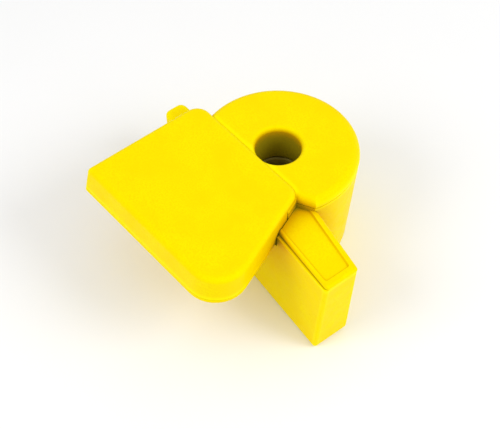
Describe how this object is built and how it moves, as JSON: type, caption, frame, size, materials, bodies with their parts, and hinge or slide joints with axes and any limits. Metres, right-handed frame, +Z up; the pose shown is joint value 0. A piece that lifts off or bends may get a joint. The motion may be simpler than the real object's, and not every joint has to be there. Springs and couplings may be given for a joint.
{
  "type": "twist wire connector",
  "caption": "Yellow plastic wire connector: a tapered barrel with a grip bar and tail lug, and a head with a wire bore and a flared thumb plate that twists on it.",
  "frame": {"origin": "on the barrel's axis, in the flat base face that the connector stands on", "axes": "+Z up the barrel's axis towards the bore's mouth; +X along the thumb plate's straight edge, towards the grip bar; the thumb plate lies on the -Y side"},
  "size_m": [0.0416, 0.0345, 0.0164],
  "materials": {
    "yellow_plastic": "satin moulded, saturated yellow",
    "dark_liner": "matte moulded",
    "spring_steel": "drawn wire, dark phosphate coating",
    "black_rubber": "matte"
  },
  "bodies": {
    "lower_body": {"barrel": "yellow_plastic", "base_plug": "yellow_plastic", "spring_cup": "dark_liner", "contact_spring": "spring_steel", "stop_pin": "spring_steel", "grip_bar": "yellow_plastic", "bar_cap": "yellow_plastic", "tail_lug": "yellow_plastic"},
    "twist_head": {"head_rim": "yellow_plastic", "thumb_plate": "yellow_plastic", "plate_backing": "yellow_plastic", "friction_ring": "black_rubber", "retaining_ring": "spring_steel"}
  },
  "joints": [
    {"name": "head_twist", "type": "hinge", "parent": "lower_body", "child": "twist_head", "pos_m": [0, 0, 0.0146], "axis": [0, 0, 1], "range_deg": [-60, 0]}
  ]
}
